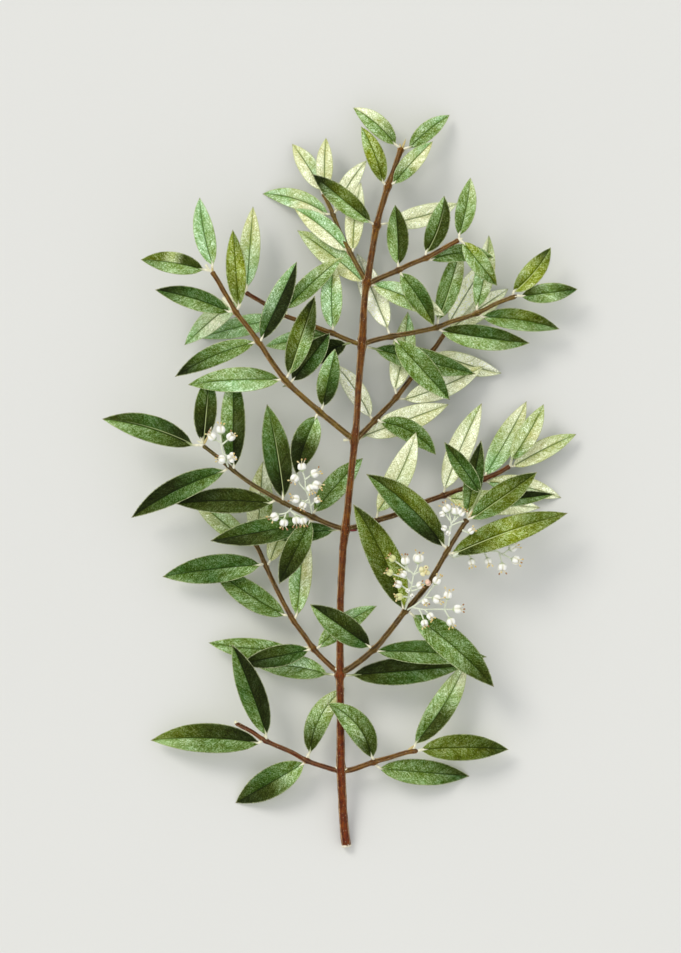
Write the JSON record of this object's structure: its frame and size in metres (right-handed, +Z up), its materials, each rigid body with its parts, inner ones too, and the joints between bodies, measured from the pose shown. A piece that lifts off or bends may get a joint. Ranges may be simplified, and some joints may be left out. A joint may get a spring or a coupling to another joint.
{
  "type": "phillyrea branch",
  "caption": "Cut flowering branch lying flat: a woody stem with opposite leafy side shoots, folded lance-shaped leaves and sprays of small white bell flowers.",
  "frame": {"origin": "middle of the branch's footprint, on the surface that it lies on", "axes": "+Y along the branch from its cut end to its young tip, +X to the right as the flat branch is seen from above, +Z up off the surface"},
  "size_m": [0.238, 0.371, 0.0405],
  "materials": {
    "bark": "matt reddish-brown bark",
    "front_leaf": "satin leathery leaf, dark green",
    "back_leaf": "satin leathery leaf, pale green",
    "petal": "soft matt white petals and pale green stalks"
  },
  "bodies": {
    "root": {"main_stem": "bark", "shoot_a_left": "front_leaf", "shoot_a_right": "front_leaf", "shoot_b_left": "back_leaf", "shoot_b_right": "front_leaf", "shoot_c_left": "front_leaf", "shoot_c_right": "back_leaf", "shoot_d_left": "front_leaf", "shoot_d_right": "back_leaf", "shoot_e_left": "back_leaf", "shoot_e_right": "back_leaf", "shoot_f_left": "back_leaf", "shoot_f_right": "front_leaf", "spray_c_left_end": "petal", "spray_c_left_upper": "petal", "spray_c_left_lower": "petal", "spray_b_right_first": "petal", "spray_b_right_second": "petal", "spray_b_right_third": "petal", "spray_b_right_fourth": "petal"}
  },
  "joints": []
}
